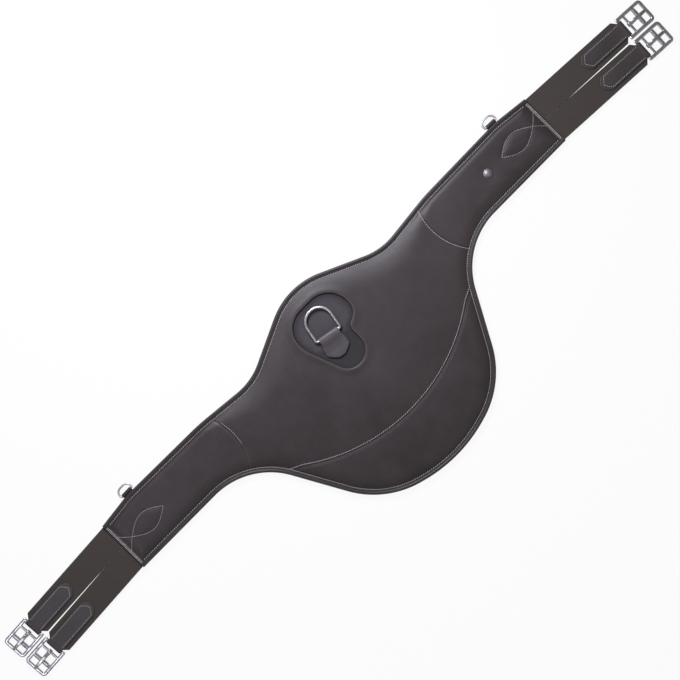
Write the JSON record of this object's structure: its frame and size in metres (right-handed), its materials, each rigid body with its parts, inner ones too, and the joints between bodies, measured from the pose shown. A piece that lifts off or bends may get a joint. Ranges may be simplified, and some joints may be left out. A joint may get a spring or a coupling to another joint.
{
  "type": "saddle girth",
  "caption": "Padded leather saddle girth with a round belly guard, elastic ends with roller buckles, side rings and a centre ring in a cut-out window.",
  "frame": {"origin": "on the flat underside of the lining, at mid length, on the strap's line", "axes": "+X along the girth to its right-hand end, +Y to the front edge, away from the belly guard, +Z out of the outer face"},
  "size_m": [1.2996, 0.3344, 0.0178],
  "materials": {
    "leather": "satin",
    "lining_leather": "soft matt",
    "binding_leather": "satin",
    "elastic": "ribbed weave",
    "webbing": "woven",
    "foam": "matt",
    "steel": "polished"
  },
  "bodies": {
    "girth_body": {"centre_ring_chape": "leather", "foam_core": "foam", "front_binding": "binding_leather", "guard_panel": "leather", "left_front_root": "elastic", "left_rear_root": "elastic", "left_ring_tab": "leather", "left_wing_panel": "leather", "lining": "lining_leather", "load_webbing": "webbing", "main_panel": "leather", "rear_binding": "binding_leather", "right_front_root": "elastic", "right_rear_root": "elastic", "right_ring_tab": "leather", "right_wing_panel": "leather", "ring_base": "leather", "stud_cap": "steel", "stud_washer": "steel"},
    "left_front_web": {"left_front_web": "elastic"},
    "left_front_chape": {"left_front_chape": "leather"},
    "left_front_frame": {"left_front_frame": "steel"},
    "left_front_tongue": {"left_front_tongue": "steel"},
    "left_front_roller": {"left_front_roller": "steel"},
    "left_rear_web": {"left_rear_web": "elastic"},
    "left_rear_chape": {"left_rear_chape": "leather"},
    "left_rear_frame": {"left_rear_frame": "steel"},
    "left_rear_tongue": {"left_rear_tongue": "steel"},
    "left_rear_roller": {"left_rear_roller": "steel"},
    "right_front_web": {"right_front_web": "elastic"},
    "right_front_chape": {"right_front_chape": "leather"},
    "right_front_frame": {"right_front_frame": "steel"},
    "right_front_tongue": {"right_front_tongue": "steel"},
    "right_front_roller": {"right_front_roller": "steel"},
    "right_rear_web": {"right_rear_web": "elastic"},
    "right_rear_chape": {"right_rear_chape": "leather"},
    "right_rear_frame": {"right_rear_frame": "steel"},
    "right_rear_tongue": {"right_rear_tongue": "steel"},
    "right_rear_roller": {"right_rear_roller": "steel"},
    "centre_ring": {"centre_ring": "steel"},
    "left_side_ring": {"left_side_ring": "steel"},
    "right_side_ring": {"right_side_ring": "steel"}
  },
  "joints": [
    {"name": "left_front_elastic_fold", "type": "hinge", "parent": "girth_body", "child": "left_front_web", "pos_m": [-0.43818, 0.01782, 0.0048], "axis": [-0.0576, 0.9983, 0], "range_deg": [-90, 90]},
    {"name": "left_front_elastic_stretch", "type": "slide", "parent": "left_front_web", "child": "left_front_chape", "axis": [-0.9983, -0.0576, 0], "range_m": [0, 0.03], "stiffness_N_per_m": 5000, "deforming": ["left_front_web"]},
    {"name": "left_front_buckle_swing", "type": "hinge", "parent": "left_front_chape", "child": "left_front_frame", "pos_m": [-0.6046, 0.00822, 0.0048], "axis": [-0.0576, 0.9983, 0], "range_deg": [-80, 80]},
    {"name": "left_front_tongue_lift", "type": "hinge", "parent": "left_front_frame", "child": "left_front_tongue", "pos_m": [-0.61508, 0.00762, 0.0048], "axis": [-0.0576, 0.9983, 0], "range_deg": [0, 95]},
    {"name": "left_front_roller_spin", "type": "hinge", "parent": "left_front_frame", "child": "left_front_roller", "pos_m": [-0.63186, 0.00665, 0.0048], "axis": [-0.0576, 0.9983, 0], "continuous": true},
    {"name": "left_rear_elastic_fold", "type": "hinge", "parent": "girth_body", "child": "left_rear_web", "pos_m": [-0.43582, -0.02302, 0.0048], "axis": [-0.0576, 0.9983, 0], "range_deg": [-90, 90]},
    {"name": "left_rear_elastic_stretch", "type": "slide", "parent": "left_rear_web", "child": "left_rear_chape", "axis": [-0.9983, -0.0576, 0], "range_m": [0, 0.03], "stiffness_N_per_m": 5000, "deforming": ["left_rear_web"]},
    {"name": "left_rear_buckle_swing", "type": "hinge", "parent": "left_rear_chape", "child": "left_rear_frame", "pos_m": [-0.60225, -0.03261, 0.0048], "axis": [-0.0576, 0.9983, 0], "range_deg": [-80, 80]},
    {"name": "left_rear_tongue_lift", "type": "hinge", "parent": "left_rear_frame", "child": "left_rear_tongue", "pos_m": [-0.61273, -0.03322, 0.0048], "axis": [-0.0576, 0.9983, 0], "range_deg": [0, 95]},
    {"name": "left_rear_roller_spin", "type": "hinge", "parent": "left_rear_frame", "child": "left_rear_roller", "pos_m": [-0.6295, -0.03418, 0.0048], "axis": [-0.0576, 0.9983, 0], "continuous": true},
    {"name": "right_front_elastic_fold", "type": "hinge", "parent": "girth_body", "child": "right_front_web", "pos_m": [0.43818, 0.01782, 0.0048], "axis": [-0.0576, -0.9983, 0], "range_deg": [-90, 90]},
    {"name": "right_front_elastic_stretch", "type": "slide", "parent": "right_front_web", "child": "right_front_chape", "axis": [0.9983, -0.0576, 0], "range_m": [0, 0.03], "stiffness_N_per_m": 5000, "deforming": ["right_front_web"]},
    {"name": "right_front_buckle_swing", "type": "hinge", "parent": "right_front_chape", "child": "right_front_frame", "pos_m": [0.6046, 0.00822, 0.0048], "axis": [-0.0576, -0.9983, 0], "range_deg": [-80, 80]},
    {"name": "right_front_tongue_lift", "type": "hinge", "parent": "right_front_frame", "child": "right_front_tongue", "pos_m": [0.61508, 0.00762, 0.0048], "axis": [-0.0576, -0.9983, 0], "range_deg": [0, 95]},
    {"name": "right_front_roller_spin", "type": "hinge", "parent": "right_front_frame", "child": "right_front_roller", "pos_m": [0.63186, 0.00665, 0.0048], "axis": [-0.0576, -0.9983, 0], "continuous": true},
    {"name": "right_rear_elastic_fold", "type": "hinge", "parent": "girth_body", "child": "right_rear_web", "pos_m": [0.43582, -0.02302, 0.0048], "axis": [-0.0576, -0.9983, 0], "range_deg": [-90, 90]},
    {"name": "right_rear_elastic_stretch", "type": "slide", "parent": "right_rear_web", "child": "right_rear_chape", "axis": [0.9983, -0.0576, 0], "range_m": [0, 0.03], "stiffness_N_per_m": 5000, "deforming": ["right_rear_web"]},
    {"name": "right_rear_buckle_swing", "type": "hinge", "parent": "right_rear_chape", "child": "right_rear_frame", "pos_m": [0.60225, -0.03261, 0.0048], "axis": [-0.0576, -0.9983, 0], "range_deg": [-80, 80]},
    {"name": "right_rear_tongue_lift", "type": "hinge", "parent": "right_rear_frame", "child": "right_rear_tongue", "pos_m": [0.61273, -0.03322, 0.0048], "axis": [-0.0576, -0.9983, 0], "range_deg": [0, 95]},
    {"name": "right_rear_roller_spin", "type": "hinge", "parent": "right_rear_frame", "child": "right_rear_roller", "pos_m": [0.6295, -0.03418, 0.0048], "axis": [-0.0576, -0.9983, 0], "continuous": true},
    {"name": "centre_ring_swing", "type": "hinge", "parent": "girth_body", "child": "centre_ring", "pos_m": [-0.007, 0.0016, 0.0134], "axis": [0.9816, -0.1908, 0], "range_deg": [0, 150]},
    {"name": "left_side_ring_swing", "type": "hinge", "parent": "girth_body", "child": "left_side_ring", "pos_m": [-0.37208, 0.04909, 0.0048], "axis": [0.9998, 0.0179, 0], "range_deg": [-80, 80]},
    {"name": "right_side_ring_swing", "type": "hinge", "parent": "girth_body", "child": "right_side_ring", "pos_m": [0.37208, 0.04909, 0.0048], "axis": [0.9998, -0.0179, 0], "range_deg": [-80, 80]}
  ]
}
